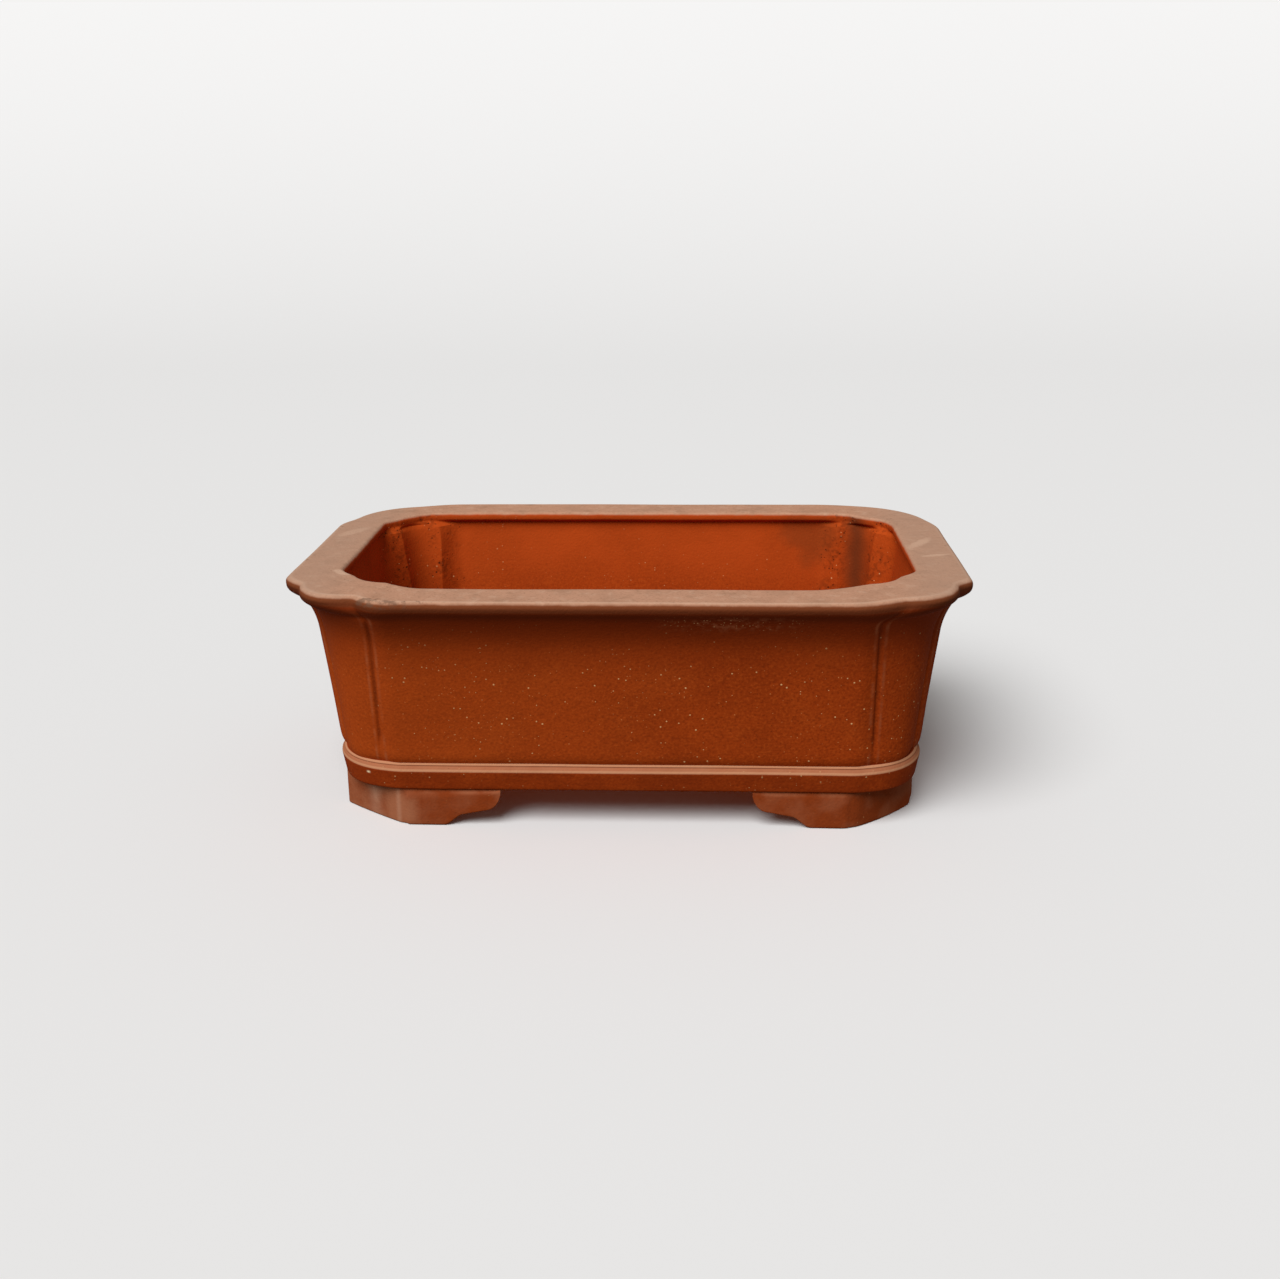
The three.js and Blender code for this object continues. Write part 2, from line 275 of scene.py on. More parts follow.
window = bpy.data.lights.new("window", "SUN")
window.energy = LIGHT_STRENGTH
window.angle = math.radians(LIGHT_WIDTH)
window_object = bpy.data.objects.new("window", window)
aside = Matrix.Rotation(math.radians(-LIGHT_FROM_LEFT), 3, "Z")
upward = Matrix.Rotation(math.radians(-LIGHT_HEIGHT), 3, "X")
towards = aside @ upward @ Vector((0, -1, 0))
window_object.matrix_world = towards.to_track_quat("Z", "Y").to_matrix().to_4x4()
bpy.context.scene.collection.objects.link(window_object)
sky = bpy.data.worlds.new("sky")
sky.use_nodes = True
background = sky.node_tree.nodes["Background"]
background.inputs["Color"].default_value = SKY_COLOUR
background.inputs["Strength"].default_value = SKY_STRENGTH
bpy.context.scene.world = sky
bpy.context.scene.view_settings.view_transform = "Standard"
print("studio ready")

# %% [markdown]
# ## The line round the pot
# Seen from above the pot is a rectangle whose corners are rounded staves, with a crease where each stave
# meets a side. Everything follows this one line: the walls, the rim, the band and the feet. A place
# on the line is given by a run, the distance gone clockwise from the middle of the back, and by a
# half-length, which says how far out the line lies. The faces of the long sides lie a fixed amount
# closer to the middle than those of the short sides, so one number serves both.

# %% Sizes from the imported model
HALF_LENGTH = cad_box[1].x
LENGTH_OVER_DEPTH = cad_box[1].x - cad_box[1].y
RIM_TOP = cad_box[1].z
RIM_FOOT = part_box("rim_front")[0].z
FLOOR_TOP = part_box("floor_slab")[1].z
FLOOR_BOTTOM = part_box("floor_slab")[0].z
BAND_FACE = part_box("band_right")[1].x
print("joints, mm:", [round(z / MM, 1) for z in (FLOOR_BOTTOM, FLOOR_TOP, RIM_FOOT, RIM_TOP)])

# %% [markdown]
# ## The creases
# A crease is given by eight sizes in millimetres. x and y place it on the long and on the short side. The two
# depths say how far the line stands back there, and the two eases over what distance it does so. The
# bulge is how far the stave stands out from a straight line between its creases, and soft is the reach
# of the round bottom. The rim was cut by hand, so each of its corners has a row of its own: back right,
# front right, front left and back left.

# %% Creases
Crease = namedtuple("Crease", "x y depth_long depth_short ease_long ease_short bulge soft")


def crease(*sizes):
    return Crease(*(size * MM for size in sizes))


def between(first, second, share):
    return Crease(*(lerp(a, b, share) for a, b in zip(first, second)))


WALL_CREASE = crease(72, 35.5, 1.9, 2.9, 6, 5, 3.2, 0.35)
WALL_INNER_CREASE = crease(68.2, 35.5, 4.6, 6.8, 7, 8, 3.2, 0.35)
RIM_CREASES = [
    crease(77, 38, 3.0, 2.6, 18, 12, 4.3, 2.6),
    crease(78.5, 40, 5.4, 4.6, 15, 5, 4.6, 1.6),
    crease(75.5, 43, 6.0, 6.2, 9, 9, 5.2, 1.0),
    crease(77, 38, 3.8, 3.2, 15, 9, 4.6, 2.6),
]
RIM_INNER_CREASES = [
    crease(72, 37.5, 1.8, 2.6, 10, 8, -0.5, 0.6),
    crease(69.5, 33, 6.4, 5.8, 18, 9, 1.6, 1.0),
    crease(68.5, 34, 5.6, 5.6, 12, 9, 1.7, 0.8),
    crease(74, 38, 1.6, 4.2, 8, 6, 0.6, 0.6),
]
BAND_CREASE = crease(71.5, 34, 1, 1, 6, 6, 3, 1.2)
FOOT_CREASE = crease(68, 31, 1.2, 1.2, 5, 5, 0.9, 1.2)
FRONT_LEFT_FOOT_CREASE = crease(68, 33.5, 1.0, 0, 4, 5, 0.4, 0.5)
print("creases set")

# %% The line itself
LONG_RUN = 72 * MM
STAVE_RUN = 26 * MM
SHORT_RUN = 34.5 * MM
QUARTER = LONG_RUN + STAVE_RUN + SHORT_RUN


def turn_in(distance, end, ease, depth):
    """How far a side stands back near its crease, at a distance from the side's middle."""
    share = clamp((distance - end + ease) / ease, 0, 1)
    return depth * (1 - math.cos(share * math.pi / 2))


def quarter_place(run):
    """Which quarter of the line a run lies in, and the run from that quarter's long side."""
    quarter, rest = divmod(run, QUARTER)
    return int(quarter) % 4, QUARTER - rest if quarter % 2 else rest


def line_point(run, half, crease):
    quarter, rest = quarter_place(run)
    if rest < LONG_RUN:
        x = crease.x * rest / LONG_RUN
        inset = turn_in(x, crease.x, crease.ease_long, crease.depth_long)
        point = Vector((x, half - LENGTH_OVER_DEPTH - inset))
    elif rest > LONG_RUN + STAVE_RUN:
        y = crease.y * (QUARTER - rest) / SHORT_RUN
        point = Vector((half - turn_in(y, crease.y, crease.ease_short, crease.depth_short), y))
    else:
        start = Vector((crease.x, half - LENGTH_OVER_DEPTH - crease.depth_long))
        chord = Vector((half - crease.depth_short, crease.y)) - start
        share = (rest - LONG_RUN) / STAVE_RUN
        outward = Vector((-chord.y, chord.x)).normalized()
        point = start + chord * share + outward * (4 * crease.bulge * share * (1 - share))
    return Vector((point.x if quarter < 2 else -point.x, point.y if quarter in (0, 3) else -point.y))


def crease_distance(run):
    """Distance along the line to the nearest crease."""
    rest = quarter_place(run)[1]
    return min(abs(rest - LONG_RUN), abs(rest - LONG_RUN - STAVE_RUN))


print("a quarter of the line, mm:", round(QUARTER / MM, 1))

# %% [markdown]
# ## Softening a crease by hand
# A crease pressed in clay with a tool has a small round bottom, not a knife line. The line is softened
# close to each crease by averaging a few neighbouring places on it. The average is taken over the line
# and not over one mesh, so the two members that meet at a crease get the same edge and stay closed.

# %% Softened line
SOFT_WEIGHTS = {-1.0: 1, -0.5: 2, 0.0: 3, 0.5: 2, 1.0: 1}


def soft_point(run, half, crease):
    reach = crease.soft * (1 - smoothstep(crease.soft, 2 * crease.soft, crease_distance(run)))
    if reach == 0:
        return line_point(run, half, crease)
    total = Vector((0, 0))
    for offset, weight in SOFT_WEIGHTS.items():
        total += line_point(run + offset * reach, half, crease) * weight
    return total / sum(SOFT_WEIGHTS.values())


print("softened over", len(SOFT_WEIGHTS), "places")

# %% [markdown]
# ## Made by hand
# Clay moves as it dries and in the kiln: no edge of a real pot is straight. Every finished point is
# moved by a slow, smooth wander. Within one run it depends only on where the point is, so neighbouring
# members wander together and their joints stay shut. The noise is not seeded, so Blender starts it
# afresh in each session, and two runs differ by a fraction of a millimetre. The pot is first made a touch
# smaller to leave room for the wander, whose upward part fades out at the soles and stops at the rim's top.

# %% Wander
WANDER = 0.45 * MM
WANDER_UP = 0.22 * MM
WANDER_PER_METRE = 24
WANDER_START = Vector((3.1, 7.7, 1.9))


def by_hand(point):
    drift = noise.noise_vector(point * WANDER_PER_METRE + WANDER_START)
    shrink = 1 - WANDER / HALF_LENGTH
    lift = drift.z * WANDER_UP * clamp(point.z / FLOOR_TOP, 0, 1)
    height = min(point.z + lift - WANDER_UP * point.z / RIM_TOP, RIM_TOP)
    return Vector((point.x * shrink + drift.x * WANDER, point.y * shrink + drift.y * WANDER, height))


print("wander, mm:", WANDER / MM)

# %% [markdown]
# ## Leading a section round the line
# A section is a closed outline drawn upright: across is the half-length and up is the height. It can be
# bevelled while it is still flat, where a round corner costs one operator. Spinning it with no angle
# and a step of one copies it into a straight bar, one slice for each stop on the line. Each vertex is
# then set on the line at its own slice's run. Two numbers are kept on every vertex, for the finishes to
# read: the half-length and the distance from a crease.

# %% Drawing a section
SPACING = 1.0 * MM


def outline(points):
    """A flat face in the XZ plane."""
    mesh = bmesh.new()
    mesh.faces.new([mesh.verts.new((across, 0, up)) for across, up in points])
    return mesh


def corner_at(mesh, across, up):
    return min(mesh.verts, key=lambda v: (v.co.x - across) ** 2 + (v.co.z - up) ** 2)


def round_corner(mesh, across, up, size, segments=5):
    bmesh.ops.bevel(
        mesh, geom=[corner_at(mesh, across, up)], offset=size, offset_type="OFFSET",
        segments=segments, profile=0.5, affect="VERTICES", material=-1,
    )


def cut_to_length(mesh, spacing=SPACING):
    """Divides each long edge of a section, so that no edge is longer than the spacing."""
    for e in list(mesh.edges):
        cuts = int(e.calc_length() / spacing)
        if cuts:
            bmesh.ops.subdivide_edges(mesh, edges=[e], cuts=cuts)


print("section tools ready")

# %% [markdown]
# ## Stops along the line
# A crease needs many slices close together and a flat panel needs few. So the step from one stop to the
# next grows with the distance from the nearest crease.

# %% Stops along the line
SEAM_STEP = 0.12 * MM
FINE_STEP = 0.24 * MM
FINE_REACH = 1.6 * MM
MEDIUM_STEP = 2 * FINE_STEP
MEDIUM_REACH = 4 * MM
STOP_SPACING = 1.2 * MM


def step_at(distance, spacing):
    """The step to the next stop, at a distance from the nearest crease."""
    if distance < SEAM_STEP:
        return SEAM_STEP
    if distance < FINE_REACH:
        return FINE_STEP
    return MEDIUM_STEP if distance < MEDIUM_REACH else spacing


def stops(start, end, spacing=STOP_SPACING):
    """Runs from start to end, closer together near creases, with a very short step at both ends."""
    found = [start, start + SEAM_STEP]
    while found[-1] < end - spacing:
        found.append(found[-1] + step_at(crease_distance(found[-1]), spacing))
    return found + [end - SEAM_STEP, end]


print("stops on half a rim, for scale:", len(stops(-QUARTER / 2, QUARTER / 2)))

# %% Sweeping
SHARP_ANGLE = math.radians(38)


def sweep(mesh, runs, crease_at, shape=None):
    """Leads a section along the line. shape(run, half, z) may change the half-length and the height."""
    geometry = mesh.verts[:] + mesh.edges[:] + mesh.faces[:]
    bmesh.ops.spin(mesh, geom=geometry, dvec=(0, 1, 0), axis=(0, 0, 1), steps=len(runs) - 1)
    half_layer = mesh.verts.layers.float.new("half")
    crease_layer = mesh.verts.layers.float.new("crease")
    for v in mesh.verts:
        run = runs[round(v.co.y)]
        half, z = v.co.x, v.co.z
        v[half_layer] = half
        v[crease_layer] = crease_distance(run)
        if shape:
            half, z = shape(run, half, z)
        flat = soft_point(run, half, crease_at(run, half, z))
        v.co = by_hand(Vector((flat.x, flat.y, z)))
    bmesh.ops.recalc_face_normals(mesh, faces=mesh.faces)
    for face in mesh.faces:
        face.smooth = True
    for e in mesh.edges:
        e.smooth = e.calc_face_angle(0) < SHARP_ANGLE
    return mesh


# %% Finishing a piece
def piece(name, mesh, finish):
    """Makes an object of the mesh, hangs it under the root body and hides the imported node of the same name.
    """
    data = bpy.data.meshes.new(name + "_clay")
    mesh.to_mesh(data)
    mesh.free()
    made = bpy.data.objects.new(name + "_clay", data)
    bpy.context.scene.collection.objects.link(made)
    data.materials.append(finish)
    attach(made, "root")
    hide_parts(name)
    print(name, len(data.polygons), "faces")


# %% [markdown]
# ## What the clay looks like
# Unglazed stoneware is matt and never one colour. The red body drifts from darker to lighter over a
# couple of centimetres, fine grains of sand make it sparkle a little, and pale grog shows as rare specks.
# All of these are patterns in space, so they run on across a joint from one member to the next. A
# Mapping node turns metres into millimetres, and then every pattern's scale is one over its size.

# %% The clay recipe
RED = (0.365, 0.047, 0.0038, 1)
DEEP_RED = (0.210, 0.024, 0.0020, 1)
ORANGE = (0.485, 0.080, 0.0085, 1)
INNER_RED = (0.510, 0.070, 0.0080, 1)
GROG = (0.85, 0.50, 0.22, 1)
FINE_GROG = (0.72, 0.28, 0.09, 1)
PIT = (0.065, 0.013, 0.004, 1)
TAUPE = (0.54, 0.285, 0.180, 1)
BUMP_STRENGTH = 0.70
BUMP_DISTANCE = 0.18 * MM
CLAY_SPECULAR = 0.07


class Clay(Finish):
    def __init__(self, name):
        super().__init__(name)
        place = self.node("ShaderNodeTexCoord", {}, {}, "Object")
        scale = (1 / MM,) * 3
        self.place = self.node("ShaderNodeMapping", {}, {"Vector": place, "Scale": scale}, "Vector")
        self.x = self.node("ShaderNodeSeparateXYZ", {}, {"Vector": self.place}, "X")
        self.y = self.x.also("Y")
        self.z = self.x.also("Z")
        self.half = self.attribute("half") / MM
        self.crease = self.attribute("crease") / MM
        self.colour = RED
        self.height = 0.0

    def noise(self, size, detail=2.0, stretch=(1, 1, 1)):
        """Soft noise about 0.5, with blotches of a size in millimetres."""
        vector = self.place
        if stretch != (1, 1, 1):
            vector = self.node("ShaderNodeMapping", {}, {"Vector": vector, "Scale": stretch}, "Vector")
        inputs = {"Vector": vector, "Scale": 1 / size, "Detail": detail}
        return self.node("ShaderNodeTexNoise", {}, inputs, "Fac")

    def grains(self, cell, share, size):
        """1 in scattered round grains: one in each cell of space, of which only a share is kept."""
        inputs = {"Vector": self.place, "Scale": 1 / cell}
        distance = self.node("ShaderNodeTexVoronoi", {}, inputs, "Distance")
        luck = self.node("ShaderNodeSeparateColor", {}, {"Color": distance.also("Color")}, "Red")
        kept = luck.math("LESS_THAN", luck, share)
        swollen = distance * (2.0 - luck.also("Green"))
        return swollen.rise(size / cell, 0.55 * size / cell) * kept

    def tint(self, mask, colour):
        self.colour = self.blend(mask, self.colour, colour)

    def dent(self, mask, depth):
        self.height = self.height - mask * depth

    def body(self):
        """The colour drift, sand and grog that all of the clay has."""
        self.tint(self.noise(24, 3).rise(0.42, 0.66) * 0.30, DEEP_RED)
        self.tint(self.noise(15, 4).rise(0.50, 0.72) * 0.25, ORANGE)
        sand = self.noise(0.75, 3)
        self.tint(sand.rise(0.50, 0.72) * 0.55, ORANGE)
        self.tint(sand.rise(0.50, 0.28) * 0.60, DEEP_RED)
        crowd = self.noise(30, 2).rise(0.38, 0.64)
        grog = self.grains(1.7, crowd * 0.34 + 0.08, 0.36)
        self.tint(grog * 0.95, GROG)
        fine_grog = self.grains(0.9, crowd * 0.14 + 0.04, 0.24)
        self.tint(fine_grog * 0.8, FINE_GROG)
        holes = self.grains(1.4, 0.10, 0.22)
        self.tint(holes * 0.75, PIT)
        self.height = sand * 0.9 + self.noise(3.2, 3) * 0.9 + grog * 0.3
        self.dent(holes, 0.9)

    def finished(self, roughness=0.84):
        inputs = {"Height": self.height, "Strength": BUMP_STRENGTH, "Distance": BUMP_DISTANCE}
        normal = self.node("ShaderNodeBump", {}, inputs, "Normal")
        gloss = self.noise(5, 2) * 0.12 + (roughness - 0.06)
        self.surface(Base_Color=self.colour, Roughness=gloss, Normal=normal)
        self.shader.inputs["Specular IOR Level"].default_value = CLAY_SPECULAR
        return self.material


print("clay recipe ready")

# %% [markdown]
# ## Wall finish
# The panels and staves share one finish. Outside, each crease is darkened with painted shade and has a faint
# painted highlight on its shoulder, the wall is darkened towards the top with painted shade under the lip,
# and lightened towards the left with painted light. Inside, the clay was pressed in by hand and not wiped, so
# the corner ridges are open and pitted, the kiln left a smoky patch high in one back corner, the hollow
# beside it is darkened with painted shade, and the upper wall is brightened with painted light.

# %% Wall finish
WALL_LEAN = 0.122
DARK_LINE = (0.120, 0.018, 0.003, 1)
PALE_BLOOM_AND_HIGHLIGHT = (0.50, 0.170, 0.072, 1)
SMOKE_BROWN = (0.190, 0.042, 0.009, 1)
HOLLOW_SHADE = (0.085, 0.024, 0.008, 1)
FRONT_WALL = (-30, -40)
BACK_WALL = (20, 34)
SHELL_MIDDLE = (82.6, 81.0)
COVE_SHADE_HEIGHT = 68.6


def corner_pits(clay, inside):
    """Open, torn clay on the inner ridges."""
    near_ridge = clay.crease.rise(10, 2) * inside
    torn = clay.noise(7, 3).rise(0.36, 0.60) * near_ridge
    pits = clay.grains(1.25, 0.45, 0.46) * torn
    clay.tint(torn * clay.noise(1.5, 3).rise(0.46, 0.62) * 0.45, DARK_LINE)
    clay.tint(pits * 0.8, PIT)
    clay.tint(clay.grains(1.5, 0.22, 0.34) * near_ridge * 0.9, GROG)
    clay.dent(pits, 2.4)
    clay.height = clay.height + clay.noise(2.0, 3) * near_ridge * 1.6


def smoke_and_hollow_shade(clay, inside):
    """A soft dark brown smoke bloom high on the back wall at the right, and painted shade in the stave's
    hollow beside it.
    """
    ragged = clay.noise(9, 4) - 0.5
    along = (clay.x - 58) / 13 + ragged
    up = (clay.z - 65) / 12 + ragged
    patch = (along * along + up * up).rise(1.0, 0.05)
    # Painted shade: the hollow beside the inner ridge, on the side away from the light.
    hollow = (clay.x + ragged * 3).near(74, 5.5) * clay.z.rise(28, 50)
    back = clay.y.rise(*BACK_WALL) * inside
    clay.tint(patch * back * 0.50, SMOKE_BROWN)
    clay.tint(hollow * back * 0.75, HOLLOW_SHADE)


def wall_marks_and_painted_light(clay):
    shell = clay.half - clay.z * WALL_LEAN
    inside = shell.rise(*SHELL_MIDDLE)
    outside = 1 - inside
    # The inside's own brighter red, laid on more strongly towards the top as painted light to even out the
    # shade under the rim.
    clay.tint(inside * clay.z.rise(36, 64) * (clay.noise(17, 3).rise(0.35, 0.65) * 0.3 + 0.7), INNER_RED)
    # Painted light: the outer wall is made lighter towards the left, the side the light comes from.
    clay.tint(outside * clay.x.rise(60, -90) * 0.35, ORANGE)
    # Painted shade: the outer wall is darkened towards the top, in the shade under the lip.
    clay.tint(outside * clay.z.rise(44, 67) * 0.8, DEEP_RED)
    # Painted shade: each crease outside is darkened where its groove would take shade, fading out low down
    # and under the lip.
    crease_shade = clay.crease.near(0, 1.0) * outside * clay.z.rise(21, 30) * clay.z.rise(68, 60)
    clay.tint(crease_shade * (clay.noise(8, 3).rise(0.35, 0.65) * 0.45 + 0.1), DARK_LINE)
    # Painted highlight: a faint pale line on the shoulder beside each crease, where the edge catches the
    # light.
    clay.tint(clay.crease.near(1.5, 0.8) * outside * clay.noise(6, 2).rise(0.35, 0.7) * 0.32, PALE_BLOOM_AND_HIGHLIGHT)
    clay.tint(outside * clay.z.near(COVE_SHADE_HEIGHT, 3.0) * 0.7, DARK_LINE)
    # A pale lime bloom under the front lip, in the same pale colour as the crease highlight.
    bloom = outside * clay.x.near(30, 27) * clay.z.near(66, 4) * clay.y.rise(*FRONT_WALL)
    clay.tint(bloom * clay.noise(1.6, 4).rise(0.46, 0.70) * 0.5, PALE_BLOOM_AND_HIGHLIGHT)
    clay.tint(bloom * clay.grains(0.9, 0.4, 0.28) * 0.9, GROG)
    corner_pits(clay, inside)
    smoke_and_hollow_shade(clay, inside)


wall_finish = Clay("wall_clay")
wall_finish.body()
wall_marks_and_painted_light(wall_finish)
WALL_CLAY = wall_finish.finished()
print("wall finish:", len(wall_finish.nodes), "nodes")

# %% [markdown]
# ## Rim finish
# The top of the rim was burnished and has a dusty taupe skin, which wears thin round the lip. Under
# the lip the skin gives way to the wall's own red, so the rim's finish starts as the wall's and the
# skin is laid over it by height. Dark rubs, faint pale smears and lime specks make it look used.

# %% Rim finish
PALE_TAUPE = (0.64, 0.41, 0.285, 1)
DARK_RUB = (0.15, 0.080, 0.050, 1)
LIP_BROWN = (0.20, 0.060, 0.022, 1)
GREY_TAUPE = (0.43, 0.275, 0.195, 1)
RIM_SHADE = (0.33, 0.175, 0.105, 1)
DULL_TAUPE = (0.38, 0.205, 0.128, 1)
BLOTCHES = [
    # size, detail, start, end, strength, colour
    (9, 4, 0.42, 0.70, 0.35, DULL_TAUPE),
    (0.9, 3, 0.50, 0.72, 0.45, RIM_SHADE),
    (3.0, 5, 0.50, 0.75, 0.40, PALE_TAUPE),
    (5, 5, 0.54, 0.70, 0.35, RIM_SHADE),
]

rim_finish = Clay("rim_clay")
rim_finish.body()
wall_marks_and_painted_light(rim_finish)
uneven = rim_finish.noise(4, 3) - 0.5
lip_face = rim_finish.half.rise(97.4, 98.4) * rim_finish.z.rise(69.4, 70.4)
rim_finish.tint(lip_face * 0.85, LIP_BROWN)
# Painted shade: the lip's face is darkened low down, where it turns under into the cove.
rim_finish.tint(lip_face * rim_finish.z.rise(71.6, 70.4) * 0.6, DARK_LINE)
skin = (rim_finish.z + uneven * 0.5).rise(71.8, 72.6)
rim_finish.tint(skin, TAUPE)
for size, detail, start, end, strength, colour in BLOTCHES:
    rim_finish.tint(skin * rim_finish.noise(size, detail).rise(start, end) * strength, colour)
# Painted highlight: a pale line along the lip's outer edge, where the rounding catches the light.
rim_finish.tint(skin * rim_finish.half.near(98.6, 0.8) * 0.50, PALE_TAUPE)
rim_finish.tint(skin * abs(rim_finish.x).rise(70, 92) * 0.5, GREY_TAUPE)
smears = rim_finish.noise(10, 4, (1, 0.45, 1)).rise(0.60, 0.74)
smears = smears * rim_finish.noise(33, 1).rise(0.48, 0.62)
rim_finish.tint(skin * smears * 0.55, PALE_TAUPE)
rim_finish.tint(skin * rim_finish.grains(1.6, 0.14, 0.22) * 0.7, PALE_TAUPE)

# %% [markdown]
# ## Wipes and rubs on the rim
# Wet hands and a wiped cloth leave a few pale, ragged ovals on the rim's top. The front left of the lip
# is worn dark by handling, and the lip's edge is rubbed dark in places.

# %% Wipes and rubs
WIPES = [
    # across, along, turn, length, width, strength
    (90, 6, 60, 9, 2.5, 0.6),
    (92.5, -9, 20, 6, 1.5, 0.6),
    (-84, -31, -50, 5, 2.2, 0.8),
    (-92, 20, 60, 9, 3, 0.4),
]


def wipe(across, along, turn, length, width):
    """A pale wipe on the rim's top, centred on a place in millimetres and turned by some degrees."""
    turn = math.radians(turn)
    x, y = rim_finish.x - across, rim_finish.y - along
    ragged = (rim_finish.noise(3, 4) - 0.5) * 0.9
    lengthwise = (x * math.cos(turn) + y * math.sin(turn)) / length + ragged
    sideways = (y * math.cos(turn) - x * math.sin(turn)) / width + ragged
    return (lengthwise * lengthwise + sideways * sideways).rise(1.0, 0.2)


for across, along, turn, length, width, strength in WIPES:
    rim_finish.tint(skin * wipe(across, along, turn, length, width) * strength, PALE_TAUPE)
worn = wipe(-69, -60, -12, 13, 2.6) * rim_finish.z.rise(70.4, 71.2)
rim_finish.tint(worn * rim_finish.noise(1.8, 4).rise(0.40, 0.60) * 0.65, DARK_RUB)
rubs = rim_finish.noise(2.6, 3).rise(0.60, 0.70) * rim_finish.noise(21, 1).rise(0.55, 0.68)
lip_edge = rim_finish.half.rise(96.8, 98.6) * skin
rim_finish.tint(rubs * lip_edge * 0.75, DARK_RUB)
rim_finish.dent(skin * rim_finish.noise(1.1, 2), 0.35)
RIM_CLAY = rim_finish.finished(0.86)
print("rim finish:", len(rim_finish.nodes), "nodes")

# %% [markdown]
# ## Band, foot and floor finishes
# Hands and cloths rub the band's raised top edge pale, and painted highlights lie on its edges, with painted
# shade in the fine line between them. The feet stand in dust and are duller, and a painted highlight runs
# along the front left foot's crease. The floor was scraped flat inside and left rough below.

# %% Band finish
BEAD = (0.55, 0.250, 0.130, 1)
CHIP = (1.0, 0.80, 0.50, 1)

band_finish = Clay("band_clay")
band_finish.body()
band_finish.tint(band_finish.noise(9, 3).rise(0.30, 0.65) * 0.3 + 0.3, DEEP_RED)
# Partly pale wear and partly painted highlight: the bead's top and shoulder edges and the upward chamfer are
# made pale.
bead = band_finish.z.near(19.8, 0.6) + band_finish.z.near(17.9, 0.55)
chamfer = band_finish.z.rise(17.4, 17.9) * 0.7
bead_wear_and_highlight = (bead + chamfer) * (band_finish.noise(5, 3) * 0.4 + 0.6) * band_finish.half.rise(86.6, 87.0)
band_finish.tint(bead_wear_and_highlight.math("MINIMUM", bead_wear_and_highlight, 1.0), BEAD)
# Painted shade in the fine line between the bead and the chamfer.
band_finish.tint(band_finish.z.near(19.2, 0.3) * 0.35, DARK_LINE)
chip = band_finish.x.near(-76.2, 0.9) * band_finish.z.near(16.2, 0.6)
band_finish.tint(chip * band_finish.y.rise(*FRONT_WALL), CHIP)
BAND_CLAY = band_finish.finished(0.8)

# %% Foot finish
DUST = (0.42, 0.155, 0.075, 1)
PINK_DUST_AND_HIGHLIGHT = (0.50, 0.235, 0.140, 1)
FOOT_BROWN = (0.225, 0.042, 0.009, 1)
FRONT_FEET = (-20, -40)

foot_finish = Clay("foot_clay")
foot_finish.body()
dusty = foot_finish.noise(8, 4).rise(0.36, 0.68)
foot_finish.tint(0.75, FOOT_BROWN)
foot_finish.tint(dusty * 0.28, DUST)
front_left = foot_finish.x.rise(-60, -64) * foot_finish.y.rise(*FRONT_FEET)
foot_finish.tint(front_left * (0.3 + dusty * 0.4), DUST)
# Painted highlight: a pale line on the raised edge beside the front left foot's crease.
foot_finish.tint(foot_finish.x.near(-67.8, 1.3) * foot_finish.y.rise(*FRONT_FEET) * 0.55, PINK_DUST_AND_HIGHLIGHT)
groove = (foot_finish.x + foot_finish.noise(5, 2) * 2).near(-75, 3.8) * foot_finish.y.rise(*FRONT_FEET)
foot_finish.tint(groove * (0.5 + dusty * 0.5), PINK_DUST_AND_HIGHLIGHT)
foot_finish.tint(foot_finish.z.near(10.6, 1.0) * dusty * 0.4, DUST)
FOOT_CLAY = foot_finish.finished(0.88)

# %% Floor finish
floor_finish = Clay("floor_clay")
floor_finish.body()
scraped = floor_finish.noise(2.0, 4, (0.12, 1, 1))
floor_finish.tint(scraped.rise(0.45, 0.75) * 0.4, ORANGE)
floor_finish.dent(scraped, 1.2)
FLOOR_CLAY = floor_finish.finished(0.88)
print("all finishes ready")

# %% [markdown]
# ## Floor slab
# On the bench the floor is rolled out as a sheet, cut to the outline, and two drain holes are cut through it.
# Here a circle is laid on the line round the pot, two smaller circles are the holes, and a fill makes one
# face with two holes of them. Extruding it gives the slab, and a bevel softens the cut edges of the holes.

# %% Floor slab
BAND_INNER = 84 * MM
DRAIN_RADIUS = 9 * MM
DRAIN_SPACING = 84 * MM
SLAB_SIDES = 320
DRAIN_SIDES = 56
DRAIN_EDGE = 1.1 * MM

slab = bmesh.new()
for v in bmesh.ops.create_circle(slab, segments=SLAB_SIDES, radius=BAND_INNER)["verts"]:
    clockwise = math.atan2(v.co.x, v.co.y) / (2 * math.pi)
    flat = soft_point(clockwise * 4 * QUARTER, BAND_INNER, BAND_CREASE)
    v.co = (flat.x, flat.y, FLOOR_BOTTOM)
for x in (-DRAIN_SPACING / 2, DRAIN_SPACING / 2):
    drain = Matrix.Translation((x, 0, FLOOR_BOTTOM))
    bmesh.ops.create_circle(slab, segments=DRAIN_SIDES, radius=DRAIN_RADIUS, matrix=drain)
bmesh.ops.triangle_fill(slab, edges=slab.edges[:], use_beauty=True, normal=(0, 0, -1))
top = bmesh.ops.extrude_face_region(slab, geom=slab.faces[:])["geom"]
top_verts = [item for item in top if isinstance(item, bmesh.types.BMVert)]
bmesh.ops.translate(slab, verts=top_verts, vec=(0, 0, FLOOR_TOP - FLOOR_BOTTOM))


def beside_drain(v):
    return Vector((abs(v.co.x) - DRAIN_SPACING / 2, v.co.y)).length < DRAIN_RADIUS + 0.1 * MM


